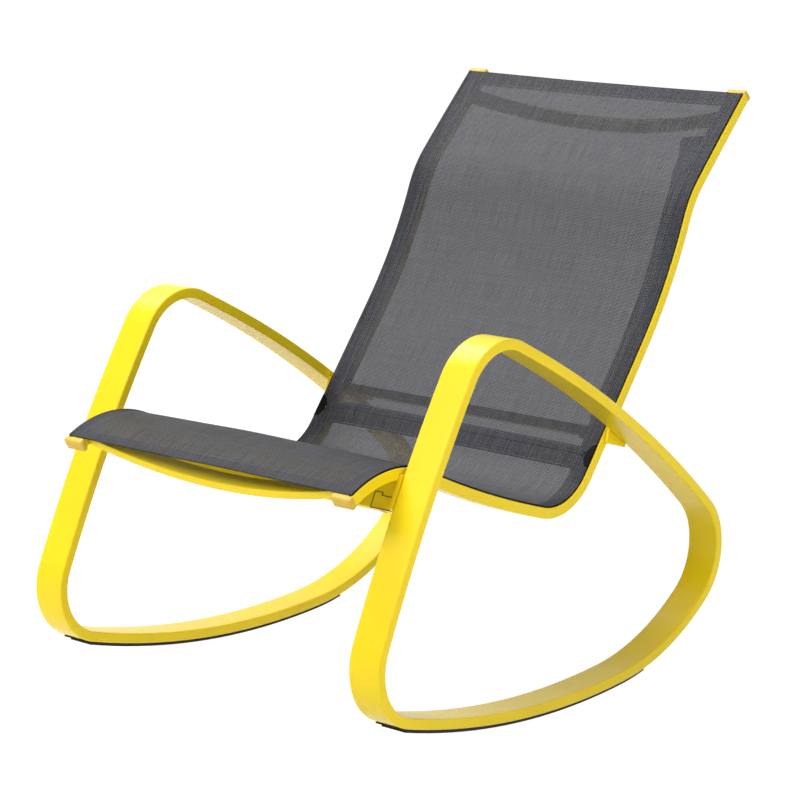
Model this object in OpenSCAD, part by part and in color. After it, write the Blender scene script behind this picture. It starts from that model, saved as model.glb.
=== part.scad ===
// Outdoor rocking chair: two flat-tube side loops, a sling seat frame hung between them,
// and two woven slings. Millimetres, +Z up, the sitter faces -Y, the sitter's left is +X.

/* [Side loops] */
// Overall width over the two side loops
chair_w = 624; // [600:2:650]
// Width of the flat tube
tube_w = 50; // [46:1:54]
// Thickness of the flat tube
tube_t = 15; // [14:0.5:16]
// Wall of the flat tube
tube_wall = 1.2; // [1:0.1:1.6]
// Radius of the rocker, on the tube's centre line
rocker_r = 1403; // [1375:1:1430]
// Angle of rocker ahead of its lowest point
rocker_front = 15.32; // [14.9:0.01:15.7]
// Angle of rocker behind its lowest point
rocker_rear = 4.75; // [4.5:0.01:5]
// Radius where the rocker sweeps up to the heel
heel_r = 387.5; // [384:0.1:391]
// Radius of the bend at the heel
rear_r = 89; // [87:0.5:91]
// Radius of the long crown of the armrest
arm_r = 1993; // [1940:5:2050]
// Radius of the bend at the front of the armrest
top_r = 83; // [81:0.5:85]
// Radius of the bend at the toe
toe_r = 80; // [78:0.5:82]

/* [Sling frame] */
// Width of a sling rail
rail_w = 30; // [29:0.5:31]
// Thickness of a sling rail
rail_t = 15.4; // [15:0.1:16]
// Wall of a sling rail
rail_wall = 1.8; // [1.5:0.1:2]
// Gap between a sling rail and its side loop
rail_gap = 5; // [4.5:0.1:6]
// Height of the front cross tube
cross_h = 48; // [46:0.5:50]
// Lean of the front cross tube from upright
cross_lean = 27; // [26:0.5:28]
// Slope of the rear cross tube
rear_slope = 17; // [16:0.5:18]
// Width of the bowed bars
bar_w = 25; // [23:0.5:27]
// Thickness of the bowed bars
bar_t = 12; // [11:0.5:13]
// Bow of the top back bar
top_bow = 39; // [35:1:43]
// Bow of the seat front bar
front_bow = 31; // [28:0.5:34]

/* [Slings and strips] */
// Thickness of the sling fabric
sling_t = 1; // [0.8:0.1:1.2]
// Radius of the keder rods
keder_r = 2.2; // [2:0.1:2.3]
// Thickness of the rubber rocker strips
strip_t = 5; // [4:0.5:6]
// Width of the rubber rocker strips
strip_w = 40; // [36:1:44]

/* [Display] */
// Node to draw

/* [Hidden] */

// Rest attitude: the loops roll forward on their rockers by this angle
pitch = 0.803;
// Rearward distance from the rocker's lowest point to the middle of the chair's length
mid_y = 26.77;

half_w = chair_w / 2;
inner_x = half_w - tube_w;
rail_x = inner_x - rail_gap;
rail_in = rail_x - rail_w;
tube_round = 2.6;
rail_round = 2;
eps = 0.01;

// Side loop: turns of its eight stretches, in travelling order from the toe
heel_turn = 32.3;
rear_turn = 103.25;
arm_turn = 14.85;
top_turn = 83.3;
leg_turn = 8.99;
loop_t = [
    rocker_front + rocker_rear, heel_turn, rear_turn, arm_turn, 0, top_turn, leg_turn,
    360 - rocker_front - rocker_rear - heel_turn - rear_turn - arm_turn - top_turn - leg_turn
];

// Step of an arc of radius r that starts at angle a and turns by t
function arc_step(r, a, t) = r * [sin(a + t) - sin(a), cos(a) - cos(a + t)];
function turned(t, i) = i == 0 ? 0 : t[i - 1] + turned(t, i - 1);
function loop_a(i) = turned(loop_t, i) - rocker_front;

// The flat of the armrest and the radius of the leg close the loop
open_step = arc_step(rocker_r, loop_a(0), loop_t[0]) + arc_step(heel_r, loop_a(1), loop_t[1])
    + arc_step(rear_r, loop_a(2), loop_t[2]) + arc_step(arm_r, loop_a(3), loop_t[3])
    + arc_step(top_r, loop_a(5), loop_t[5]) + arc_step(toe_r, loop_a(7), loop_t[7]);
flat_dir = [cos(loop_a(4)), sin(loop_a(4))];
leg_step = arc_step(1, loop_a(6), loop_t[6]);
det = flat_dir[0] * leg_step[1] - flat_dir[1] * leg_step[0];
arm_flat = (leg_step[0] * open_step[1] - leg_step[1] * open_step[0]) / det;
leg_r = (flat_dir[1] * open_step[0] - flat_dir[0] * open_step[1]) / det;

loop_r = [rocker_r, heel_r, rear_r, arm_r, 0, top_r, leg_r, toe_r];
loop_l = [0, 0, 0, 0, arm_flat, 0, 0, 0];

// Path tools: a path is lists of radii, turns and straight lengths; a pose is [y, z, angle]
function seg_step(r, t, l, a) = r == 0 ? l * [cos(a), sin(a)] : arc_step(r, a, t);
function pose(r, t, l, start, i) =
    i == 0 ? start
    : let (p = pose(r, t, l, start, i - 1), s = seg_step(r[i - 1], t[i - 1], l[i - 1], p[2]))
        [p[0] + s[0], p[1] + s[1], p[2] + t[i - 1]];
function along(p, r, t, l) = let (s = seg_step(r, t, l, p[2])) [p[0] + s[0], p[1] + s[1], p[2] + t];
function offset_pose(p, ahead, up, a) =
    [p[0] + ahead * cos(p[2]) - up * sin(p[2]), p[1] + ahead * sin(p[2]) + up * cos(p[2]), a];

// Height of the tube's centre line over the floor at the rocker's lowest point
low_z = strip_t + tube_t / 2;
loop_start = [
    -rocker_r * sin(rocker_front), low_z + rocker_r * (1 - cos(rocker_front)), -rocker_front
];
function loop_pose(i) = pose(loop_r, loop_t, loop_l, loop_start, i);

// Front cross tube: its foot is set off the leg's centre line
stub_at = 0.5165;
leg_pose = along(loop_pose(6), leg_r, leg_turn * stub_at, 0);
cross_back = 6.4;
cross_pose = let (p = offset_pose(leg_pose, 0, cross_back, 0)) [p[0], p[1], 90 - cross_lean];

// Sling rail: top face from the front end to the head
rail_r = [-171.6, 1953, 90, 0, 707, -161, -8100];
rail_a = [-55.05, 8.14, 68.74, 0, 16.04, -22.29, -1.15];
rail_l = [0, 0, 0, 212.7, 0, 0, 0];
rail_ahead = 88.6;
rail_up = 32.4;
rail_start = [cross_pose[0] - rail_ahead, cross_pose[1] + rail_up, 31.28];
function rail_pose(i) = pose(rail_r, rail_a, rail_l, rail_start, i);
splice_at = 26.6;
riser = rail_pose(3);
splice_pose = offset_pose(riser, splice_at, 0, riser[2]);
head = rail_pose(7);

// Rear cross tube: centre of its section, set off the start of the riser
rear_pose = [riser[0] + 64.9, riser[1] + 43.9, -rear_slope];
plate_t = rail_gap - 0.5;
tongue_t = 4;
tongue_x = 205;

// Groove for the sling's edge
groove_x = rail_x - 5.5;
groove_n = -4.8;
bore_r = 3.3;
slot_w = 2.4;

// Lap joint of the front cross tube, heights up its face
lap_x = 245;
tab_x = 215.5;
tooth_x = 228;
lap_v = 18.7;
tooth_v = 22.8;
seam = 0.8;
lap_bolt_x = 232;

// Centre and tilt of the whole chair on the floor
roll_z = low_z + rocker_r;

module set_down() {
    translate([0, -mid_y, 0])
        translate([0, 0, roll_z])
            rotate([pitch, 0, 0])
                translate([0, 0, -roll_z])
                    children();
}

// Puts a drawing of (rearward, up) on the chair's side plane, its third axis across the chair
module side_plane() {
    rotate([90, 0, 90])
        children();
}

module at_pose(p) {
    translate([p[0], p[1], 0])
        rotate([0, 0, p[2]])
            children();
}

module lay() {
    set_down()
        side_plane()
            children();
}

module left_side() {
    lay()
        children();
}

module right_side() {
    mirror([1, 0, 0])
        lay()
            children();
}

function fine(r) = r < 200 ? 96 : r < 500 ? 180 : 360;

// Stretches stop just short of their ends, and a collar a hair larger joins them
trim = 0.02;
grow = 0.02;
collar = 0.3;

// Sweeps a section, drawn as (up from the path, across the chair), along one stretch
module stretch(r, t, l, p, kind) {
    if (r == 0)
        at_pose(p)
            translate([trim, 0, 0])
                rotate([90, 0, 90])
                    linear_extrude(l - 2 * trim)
                        section(kind, 0);
    else {
        c = [p[0] - r * sin(p[2]), p[1] + r * cos(p[2])];
        da = trim / abs(r) * 180 / PI;
        if (r > 0)
            translate([c[0], c[1], 0])
                rotate_extrude(start = p[2] - 90 + da, angle = t - 2 * da, $fn = fine(r))
                    translate([r, 0])
                        mirror([1, 0])
                            section(kind, 0);
        else
            translate([c[0], c[1], 0])
                rotate_extrude(start = p[2] + t + 90 + da, angle = -t - 2 * da, $fn = fine(-r))
                    translate([-r, 0])
                        section(kind, 0);
    }
}

module joint(p, kind, from = -collar, to = collar) {
    run(p, from, to)
        section(kind, grow);
}

// Sections by name, each drawn larger by g all round
module section(kind, g) {
    if (kind == "tube")
        round_box(-tube_t / 2 - g, inner_x - g, tube_t / 2 + g, half_w + g, tube_round);
    if (kind == "tube_void")
        round_box(-tube_t / 2 + tube_wall - g, inner_x + tube_wall - g,
            tube_t / 2 - tube_wall + g, half_w - tube_wall + g, tube_round - tube_wall);
    if (kind == "rail")
        round_box(-rail_t - g, rail_in - g, g, rail_x + g, rail_round);
    if (kind == "rail_void")
        round_box(-rail_t + rail_wall - g, rail_in + rail_wall - g,
            -rail_wall + g, groove_x - bore_r - 1.4 + g, 1);
    if (kind == "groove") {
        translate([groove_n, groove_x])
            circle(bore_r + g, $fn = 32);
        translate([groove_n, groove_x - slot_w / 2 - g])
            square([-groove_n + 1 + g, slot_w + 2 * g]);
    }
    if (kind == "rail_bite")
        translate([-rail_t - g, rail_in - g])
            square([rail_t + 20 + 2 * g, rail_w + 2 * g]);
    if (kind == "keder")
        translate([groove_n, groove_x])
            circle(keder_r + g, $fn = 32);
    if (kind == "sling")
        sling_section(g);
    if (kind == "strip")
        translate([-tube_t / 2 - strip_t - g, strip_x - strip_w / 2 - g])
            square([strip_t + g, strip_w + 2 * g]);
    if (kind == "nose")
        translate([-tube_t / 2 - nose_t - g, strip_x - strip_w / 2 - g])
            square([nose_t + g, strip_w + 2 * g]);
}

// Rectangle with round corners, from one corner to the other
module round_box(x0, y0, x1, y1, r) {
    translate([x0 + r, y0])
        square([x1 - x0 - 2 * r, y1 - y0]);
    translate([x0, y0 + r])
        square([x1 - x0, y1 - y0 - 2 * r]);
    for (x = [x0 + r, x1 - r])
        for (y = [y0 + r, y1 - r])
            translate([x, y])
                circle(r, $fn = 32);
}

// Prism along a pose's own direction
module run(p, from, to) {
    at_pose(p)
        translate([from, 0, 0])
            rotate([90, 0, 90])
                linear_extrude(to - from)
                    children();
}

module loop_sweep(kind) {
    for (i = [0:7]) {
        stretch(loop_r[i], loop_t[i], loop_l[i], loop_pose(i), kind);
        joint(loop_pose(i), kind);
    }
}

module side_loop() {
    difference() {
        loop_sweep("tube");
        loop_sweep("tube_void");
        for (a = strip_screws)
            at_strip(a)
                translate([0, 0, tube_t / 2 - tube_wall - 1])
                    cylinder(h = tube_wall + 2, r = 2, $fn = 32);
    }
}

// Sweeps a section along the seat half or the back half of a sling rail
module rail_sweep(part, kind) {
    first = part == "seat" ? 0 : 4;
    for (i = [first:first + 2]) {
        stretch(rail_r[i], rail_a[i], 0, rail_pose(i), kind);
        if (i > 0)
            joint(rail_pose(i), kind);
    }
    if (part == "seat") {
        joint(riser, kind);
        stretch(0, 0, splice_at, riser, kind);
    } else
        stretch(0, 0, rail_l[3] - splice_at, splice_pose, kind);
}

function part_start(part) = part == "seat" ? rail_start : splice_pose;
function part_end(part) = part == "seat" ? splice_pose : head;

// A hollow runs out past both ends of the rail
module rail_hollow(part, kind) {
    rail_sweep(part, kind);
    joint(part_start(part), kind, -2, collar);
    joint(part_end(part), kind, -collar, 2);
}

module sling_rail(part) {
    difference() {
        rail_sweep(part, "rail");
        rail_hollow(part, "rail_void");
        rail_hollow(part, "groove");
        screw_hole(part);
    }
}

// Screws of the splice go in from the rail's underside
insert_half = 26;
screw_r = 2.5;
insert_t = rail_t - 2 * rail_wall - 0.4;
insert_w = groove_x - bore_r - 1.4 - rail_in - rail_wall - 0.4;
insert_x = rail_in + rail_wall + 0.2 + insert_w / 2;

function screw_at(part) = part == "seat" ? -13 : 13;

module screw_hole(part) {
    at_pose(splice_pose)
        translate([screw_at(part), 9 - rail_t, insert_x])
            rotate([90, 0, 0])
                cylinder(h = rail_t, r = screw_r, $fn = 32);
}

module splice_screw(part) {
    at_pose(splice_pose)
        translate([screw_at(part), -rail_t, insert_x])
            rotate([90, 0, 0]) {
                translate([0, 0, -9])
                    cylinder(h = 9 + eps, r = screw_r, $fn = 32);
                cylinder(h = 1.2, r = 4.5, $fn = 32);
                translate([0, 0, 1.2 - eps])
                    cylinder(h = 1.2, r1 = 4.5, r2 = 2.8, $fn = 32);
            }
}

module splice_insert() {
    difference() {
        run(splice_pose, -insert_half, insert_half)
            round_box(-rail_t + rail_wall, insert_x - insert_w / 2,
                -rail_t + rail_wall + insert_t, insert_x + insert_w / 2, 1);
        screw_hole("seat");
        screw_hole("back");
    }
}

// Black plug over the splice: a flat plate on the rail with a rib down in the groove
plug_l = 37;
plug_w = 9;
plug_t = 1.6;
plug_edge = groove_x + 1.5;

// Outline of the plug, (along the rail, across the chair), larger by g and out to an edge
module plug_plan(g, edge) {
    polygon([
        [-plug_l / 2 - g, edge], [plug_l / 2 + g, edge],
        [plug_l / 2 + g, groove_x - 3.4], [13 + g, plug_edge - plug_w - g],
        [-13 - g, plug_edge - plug_w - g], [-plug_l / 2 - g, groove_x - 3.4]
    ]);
}

module splice_collar() {
    at_pose(splice_pose) {
        translate([0, plug_t, 0])
            rotate([90, 0, 0])
                linear_extrude(plug_t)
                    plug_plan(0, plug_edge);
        translate([-plug_l / 2 + 4, -1.6, groove_x - slot_w / 2 + 0.2])
            cube([plug_l - 8, 1.6 + plug_t / 2, slot_w - 0.4]);
    }
}

cap_t = 3;

module end_cap(p, way) {
    run(p, way < 0 ? -cap_t + 0.8 : 0, way < 0 ? 0 : cap_t - 0.8)
        section("rail", 0);
    run(p, way < 0 ? -cap_t : cap_t - 0.8 - eps, way < 0 ? -cap_t + 0.8 + eps : cap_t)
        round_box(-rail_t + 0.8, rail_in + 0.8, -0.8, rail_x - 0.8, 1.4);
    run(p, way < 0 ? -eps : -9, way < 0 ? 9 : eps)
        round_box(-rail_t + rail_wall + 0.5, rail_in + rail_wall + 0.5,
            -rail_wall - 0.5, groove_x - bore_r - 1.9, 0.6);
}

// Flat oval bar bowed under the slings between the two rails
module bowed_bar(p, bow) {
    r = (rail_in * rail_in + bow * bow) / (2 * bow);
    half_turn = asin(rail_in / r) + 1.5;
    difference() {
        intersection() {
            at_pose(p)
                translate([0, r - bow, 0])
                    rotate([90, 0, 90])
                        rotate_extrude(start = 180 - half_turn, angle = 2 * half_turn, $fn = 720)
                            translate([r, 0])
                                oval(bar_t, bar_w);
            at_pose(p)
                translate([-bar_w, -bow - bar_t, -rail_in])
                    cube([2 * bar_w, bow + 3 * bar_t, 2 * rail_in]);
        }
        at_pose(p)
            translate([0, r - bow, 0])
                rotate([90, 0, 90])
                    rotate_extrude(start = 180 - half_turn, angle = 2 * half_turn, $fn = 720)
                        translate([r, 0])
                            oval(bar_t - 2 * bar_wall, bar_w - 2 * bar_wall);
    }
}

module oval(t, w) {
    square([t, w - t], center = true);
    for (s = [-1, 1])
        translate([0, s * (w - t) / 2])
            circle(t / 2, $fn = 48);
}

bar_wall = 1.5;
front_bar_at = bar_w / 2 + 13;
front_bar_turn = -front_bar_at / -rail_r[0] * 180 / PI;
front_bar_pose = let (p = along(rail_start, rail_r[0], front_bar_turn, 0))
    offset_pose(p, 0, -rail_t / 2, p[2]);
top_bar_pose = offset_pose(head, -44, -rail_t / 2, head[2]);

// Frame of the front cross tube: x rearwards through it, y up its face
module cross_frame() {
    at_pose([cross_pose[0], cross_pose[1], cross_pose[2] - 90])
        children();
}

module cross_section(shrink) {
    round_box(shrink, shrink, tube_t - shrink, cross_h + 4 - shrink, tube_round - shrink);
}

module front_cross_tube() {
    difference() {
        cross_frame()
            translate([0, 0, -lap_x + seam])
                linear_extrude(2 * (lap_x - seam))
                    cross_section(0);
        cross_frame()
            translate([0, 0, -tab_x + 10])
                linear_extrude(2 * (tab_x - 10))
                    cross_section(tube_wall);
        for (s = [-1, 1])
            mirror([0, 0, s < 0 ? 1 : 0]) {
                cross_frame() {
                    translate([-1, -1, tab_x - seam])
                        cube([tube_t + 2, 1 + lap_v + seam, lap_x]);
                    translate([-1, -1, tab_x - seam])
                        cube([tube_t + 2, 1 + tooth_v, tooth_x - tab_x + 2 * seam]);
                    translate([tube_t / 2, -1, lap_bolt_x])
                        rotate([-90, 0, 0])
                            cylinder(h = 1 + 40, r = 3, $fn = 32);
                }
                rail_bite();
            }
    }
}

// Body of the sling rail where the front cross tube is cut to fit it
module rail_bite() {
    stretch(rail_r[0], rail_a[0], 0, rail_pose(0), "rail_bite");
    joint(rail_pose(1), "rail_bite");
    stretch(rail_r[1], rail_a[1], 0, rail_pose(1), "rail_bite");
}

module front_stub() {
    difference() {
        cross_frame() {
            translate([-16, 0, inner_x - 5])
                cube([16 + tube_t, cross_h, 5]);
            translate([0, 0, lap_x])
                cube([tube_t, cross_h, inner_x - lap_x]);
            translate([0, 0, tab_x])
                cube([tube_t, lap_v, inner_x - tab_x]);
            translate([0, 0, tab_x])
                cube([tube_t, tooth_v, tooth_x - tab_x]);
        }
        cross_frame() {
            translate([tube_t / 2, -1, lap_bolt_x])
                rotate([-90, 0, 0])
                    cylinder(h = 1 + lap_v + 10, r = 3.2, $fn = 32);
            translate([tube_t / 2, -1, lap_bolt_x])
                rotate([-90, 0, 0])
                    cylinder(h = 1 + 4, r = 5.4, $fn = 32);
        }
        rail_bite();
    }
}

module lap_bolt() {
    cross_frame()
        translate([tube_t / 2, 0.5, lap_bolt_x])
            rotate([-90, 0, 0]) {
                difference() {
                    cylinder(h = 3.5, r = 5, $fn = 48);
                    translate([0, 0, -1])
                        cylinder(h = 3, r = 2.2, $fn = 6);
                }
                translate([0, 0, 3.5 - eps])
                    cylinder(h = 34, r = 3, $fn = 32);
            }
}

// Frame of the rear cross tube: x rearwards along its wide face, y up, at its centre
module rear_frame() {
    at_pose(rear_pose)
        children();
}

module riser_bite() {
    run(riser, 0, rail_l[3])
        translate([-rail_t, rail_in])
            square([rail_t + 60, rail_w]);
}

module rear_cross_tube() {
    difference() {
        rear_frame()
            translate([0, 0, -inner_x + plate_t + 0.5])
                linear_extrude(2 * (inner_x - plate_t - 0.5))
                    round_box(-tube_w / 2, -tube_t / 2, tube_w / 2, tube_t / 2, tube_round);
        rear_frame()
            translate([0, 0, -tongue_x + 12])
                linear_extrude(2 * (tongue_x - 12))
                    round_box(-tube_w / 2 + tube_wall, -tube_t / 2 + tube_wall,
                        tube_w / 2 - tube_wall, tube_t / 2 - tube_wall, tube_round - tube_wall);
        for (s = [-1, 1])
            mirror([0, 0, s < 0 ? 1 : 0]) {
                riser_bite();
                rear_frame()
                    translate([rear_bolt_y, -tube_t / 2 - 1, rear_bolt_x])
                        rotate([-90, 0, 0])
                            cylinder(h = tube_t - 1, r = 3, $fn = 32);
            }
    }
}

rear_bolt_x = 216;
rear_bolt_y = 5;

module rear_stub() {
    difference() {
        rear_frame() {
            translate([0, 0, inner_x - plate_t])
                linear_extrude(plate_t)
                    polygon([
                        [-24, -tube_t / 2 - tongue_t], [24, -tube_t / 2 - tongue_t], [24, 1], [-24, 12]
                    ]);
            translate([-12, -tube_t / 2 - tongue_t, tongue_x])
                cube([34, tongue_t, inner_x - tongue_x - eps]);
        }
        rear_frame()
            translate([rear_bolt_y, -tube_t / 2 - tongue_t - 1, rear_bolt_x])
                rotate([-90, 0, 0])
                    cylinder(h = tongue_t + 2, r = 3.2, $fn = 32);
    }
}

module rear_bolt() {
    rear_frame()
        translate([rear_bolt_y, -tube_t / 2 - tongue_t, rear_bolt_x])
            rotate([-90, 0, 0]) {
                translate([0, 0, -3.5])
                    difference() {
                        cylinder(h = 3.5, r = 5, $fn = 48);
                        translate([0, 0, -1])
                            cylinder(h = 3, r = 2.2, $fn = 6);
                    }
                translate([0, 0, -eps])
                    cylinder(h = tongue_t + 11, r = 3, $fn = 32);
            }
}

// Slings: a taut sheet on the rails, its edges down the slots and round the keder rods
lift = 0.1;
hem_gap = 1.5;
wrap_r = keder_r + 0.1;

module sling_section(g) {
    translate([lift - g, -groove_x - g])
        square([sling_t + 2 * g, 2 * groove_x + 2 * g]);
    for (s = [-1, 1]) {
        translate([groove_n + wrap_r + 0.2, s * groove_x - 0.5 - g])
            square([lift - groove_n - wrap_r + 0.2 + g, 1 + 2 * g]);
        translate([groove_n, s * groove_x])
            difference() {
                circle(wrap_r + 0.8 + g, $fn = 32);
                circle(wrap_r - g, $fn = 32);
            }
    }
}

// The slings' edges stop short of the plug over the splice
module sling(part) {
    difference() {
        rail_sweep(part, "sling");
        for (side = [-1, 1])
            mirror([0, 0, side < 0 ? 1 : 0])
                at_pose(splice_pose)
                    translate([0, rail_t, 0])
                        rotate([90, 0, 0])
                            linear_extrude(2 * rail_t)
                                plug_plan(0.4, groove_x + 10);
    }
}

// Rubber strip under the whole rocker, with a thin nose on the toe's bend
strip_nose = 9;
nose_t = 2.4;
strip_heel = 8;
strip_x = inner_x + tube_w / 2;
toe_end = along(loop_pose(7), toe_r, loop_t[7] - strip_nose, 0);

module rocker_strip() {
    difference() {
        union() {
            stretch(toe_r, strip_nose, 0, toe_end, "nose");
            joint(loop_start, "nose", -1, 1);
            stretch(rocker_r, loop_t[0], 0, loop_start, "strip");
            joint(loop_pose(1), "strip");
            stretch(heel_r, strip_heel, 0, loop_pose(1), "strip");
        }
        for (a = strip_screws)
            at_strip(a) {
                cylinder(h = 20, r = 2, center = true, $fn = 32);
                translate([0, 0, tube_t / 2 + 1.5])
                    cylinder(h = 10, r = 3.8, $fn = 32);
            }
    }
}

// Places of the strip screws, as angles along the rocker from its lowest point
strip_screws = [-13.5, -5, 3];

function strip_pose(a) = along(loop_start, rocker_r, rocker_front + a, 0);

module at_strip(a) {
    p = strip_pose(a);
    translate([p[0], p[1], strip_x])
        rotate([0, 0, p[2]])
            rotate([90, 0, 0])
                children();
}

module strip_screw(a) {
    at_strip(a)
        translate([0, 0, tube_t / 2 - tube_wall]) {
            cylinder(h = tube_wall + 1.5 + eps, r = 2, $fn = 32);
            translate([0, 0, tube_wall + 1.5])
                cylinder(h = 1.8, r = 3.6, $fn = 32);
        }
}

metal = [0.95, 0.8, 0.15];
cap_colour = [0.85, 0.75, 0.35];
cloth = [0.4, 0.4, 0.42];
rubber = [0.08, 0.08, 0.08];
steel = [0.6, 0.6, 0.62];

module side_loop_left() { color(metal) left_side() side_loop(); }
module side_loop_right() { color(metal) right_side() side_loop(); }
module front_stub_left() { color(metal) left_side() front_stub(); }
module front_stub_right() { color(metal) right_side() front_stub(); }
module rear_stub_left() { color(metal) left_side() rear_stub(); }
module rear_stub_right() { color(metal) right_side() rear_stub(); }
module seat_rail_left() { color(metal) left_side() sling_rail("seat"); }
module seat_rail_right() { color(metal) right_side() sling_rail("seat"); }
module back_rail_left() { color(metal) left_side() sling_rail("back"); }
module back_rail_right() { color(metal) right_side() sling_rail("back"); }
module splice_insert_left() { color(steel) left_side() splice_insert(); }
module splice_insert_right() { color(steel) right_side() splice_insert(); }
module splice_collar_left() { color(rubber) left_side() splice_collar(); }
module splice_collar_right() { color(rubber) right_side() splice_collar(); }
module front_end_cap_left() { color(cap_colour) left_side() end_cap(rail_start, -1); }
module front_end_cap_right() { color(cap_colour) right_side() end_cap(rail_start, -1); }
module top_end_cap_left() { color(cap_colour) left_side() end_cap(head, 1); }
module top_end_cap_right() { color(cap_colour) right_side() end_cap(head, 1); }
module seat_keder_left() { color(rubber) left_side() rail_sweep("seat", "keder"); }
module seat_keder_right() { color(rubber) right_side() rail_sweep("seat", "keder"); }
module back_keder_left() { color(rubber) left_side() rail_sweep("back", "keder"); }
module back_keder_right() { color(rubber) right_side() rail_sweep("back", "keder"); }
module rocker_strip_left() { color(rubber) left_side() rocker_strip(); }
module rocker_strip_right() { color(rubber) right_side() rocker_strip(); }
module lap_bolt_left() { color(steel) left_side() lap_bolt(); }
module lap_bolt_right() { color(steel) right_side() lap_bolt(); }
module rear_bolt_left() { color(steel) left_side() rear_bolt(); }
module rear_bolt_right() { color(steel) right_side() rear_bolt(); }

module seat_splice_screw_left() { color(steel) left_side() splice_screw("seat"); }
module seat_splice_screw_right() { color(steel) right_side() splice_screw("seat"); }
module back_splice_screw_left() { color(steel) left_side() splice_screw("back"); }
module back_splice_screw_right() { color(steel) right_side() splice_screw("back"); }
module strip_screw_front_left() { color(steel) left_side() strip_screw(strip_screws[0]); }
module strip_screw_front_right() { color(steel) right_side() strip_screw(strip_screws[0]); }
module strip_screw_middle_left() { color(steel) left_side() strip_screw(strip_screws[1]); }
module strip_screw_middle_right() { color(steel) right_side() strip_screw(strip_screws[1]); }
module strip_screw_rear_left() { color(steel) left_side() strip_screw(strip_screws[2]); }
module strip_screw_rear_right() { color(steel) right_side() strip_screw(strip_screws[2]); }
module seat_front_bar() { color(metal) lay() bowed_bar(front_bar_pose, front_bow); }
module top_back_bar() { color(metal) lay() bowed_bar(top_bar_pose, top_bow); }
module seat_sling() { color(cloth) lay() sling("seat"); }
module back_sling() { color(cloth) lay() sling("back"); }

side_loop_left();
side_loop_right();
front_stub_left();
front_stub_right();
rear_stub_left();
rear_stub_right();
color(metal) lay() front_cross_tube();
color(metal) lay() rear_cross_tube();
seat_rail_left();
seat_rail_right();
back_rail_left();
back_rail_right();
splice_insert_left();
splice_insert_right();
splice_collar_left();
splice_collar_right();
front_end_cap_left();
front_end_cap_right();
top_end_cap_left();
top_end_cap_right();
seat_front_bar();
top_back_bar();
seat_sling();
back_sling();
seat_keder_left();
seat_keder_right();
back_keder_left();
back_keder_right();
rocker_strip_left();
rocker_strip_right();
lap_bolt_left();
lap_bolt_right();
rear_bolt_left();
rear_bolt_right();
seat_splice_screw_left();
seat_splice_screw_right();
back_splice_screw_left();
back_splice_screw_right();
strip_screw_front_left();
strip_screw_front_right();
strip_screw_middle_left();
strip_screw_middle_right();
strip_screw_rear_left();
strip_screw_rear_right();
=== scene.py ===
"""Looks of the outdoor rocking chair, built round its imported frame.

The side loops, stubs, rails, cross tubes, head bar, splice inserts, keder rods, rubber strips,
bolts and screws are the frame's own nodes and get their finishes here. The end caps, the front
bar, the splice plugs and the two stretched slings are built here and stand for the frame's plain
ones. Lengths are in millimetres in the dataclass fields and in metres in the meshes. "Left" and
"right" are the sitter's, and a length along a rail starts at the rail's front end.
"""

from __future__ import annotations

import logging
import math
from collections.abc import Callable
from dataclasses import dataclass
from enum import Enum

import bmesh
import bpy
from mathutils import Euler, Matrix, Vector

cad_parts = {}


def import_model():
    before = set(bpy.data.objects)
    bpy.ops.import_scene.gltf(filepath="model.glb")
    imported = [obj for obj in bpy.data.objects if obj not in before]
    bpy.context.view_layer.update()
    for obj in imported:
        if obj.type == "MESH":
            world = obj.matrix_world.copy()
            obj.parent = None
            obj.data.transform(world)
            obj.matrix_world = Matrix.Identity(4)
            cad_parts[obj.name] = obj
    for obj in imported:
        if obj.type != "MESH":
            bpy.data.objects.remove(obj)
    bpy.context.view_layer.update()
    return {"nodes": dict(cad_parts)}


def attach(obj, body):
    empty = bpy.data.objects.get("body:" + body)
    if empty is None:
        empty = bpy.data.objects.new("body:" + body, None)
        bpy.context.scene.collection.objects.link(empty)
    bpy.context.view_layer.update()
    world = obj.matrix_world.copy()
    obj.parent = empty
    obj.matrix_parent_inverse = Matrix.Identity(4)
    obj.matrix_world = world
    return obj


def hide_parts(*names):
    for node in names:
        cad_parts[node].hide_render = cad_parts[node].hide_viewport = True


LOG = logging.getLogger("rocking_chair")
MM = 0.001
BODY = "root"
WHITE = "#FFFFFF"
# Vertices closer than this become one, and edges shorter than the second value are taken out, m
SAME_PLACE = 1e-6
NO_LENGTH = 1e-7
# Nearly all of a Noise Texture's values lie between these
NOISE_RANGE = {"From Min": 0.3, "From Max": 0.7}
# Sockets of a Mix node that mixes two colours: three inputs and the output
MIX_FACTOR, MIX_A, MIX_B, MIX_RESULT = 0, 6, 7, 2


class Side(Enum):
    """The chair's sides, each with the sign of its X."""

    LEFT = 1
    RIGHT = -1

    def name_of(self, piece: str) -> str:
        """Name of this side's piece."""
        return f"{piece}_{self.name.lower()}"


class RailEnd(Enum):
    """The ends of a rail, each with the way that it points along the rail."""

    FRONT = -1
    TOP = 1


class ClothEnd(Enum):
    """The ends of a cloth, each with the way that the cloth goes on from it along the rail."""

    START = 1
    END = -1


def linear(hex_colour: str) -> tuple[float, float, float, float]:
    """Turns an sRGB hex colour into the linear RGBA that a shader socket holds.

    Args:
        hex_colour: six hex digits after a "#".

    Returns:
        Linear red, green and blue, and an alpha of 1.
    """
    channels = [int(hex_colour[i : i + 2], 16) / 255 for i in (1, 3, 5)]
    out = [c / 12.92 if c <= 0.04045 else ((c + 0.055) / 1.055) ** 2.4 for c in channels]
    return out[0], out[1], out[2], 1.0


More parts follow.
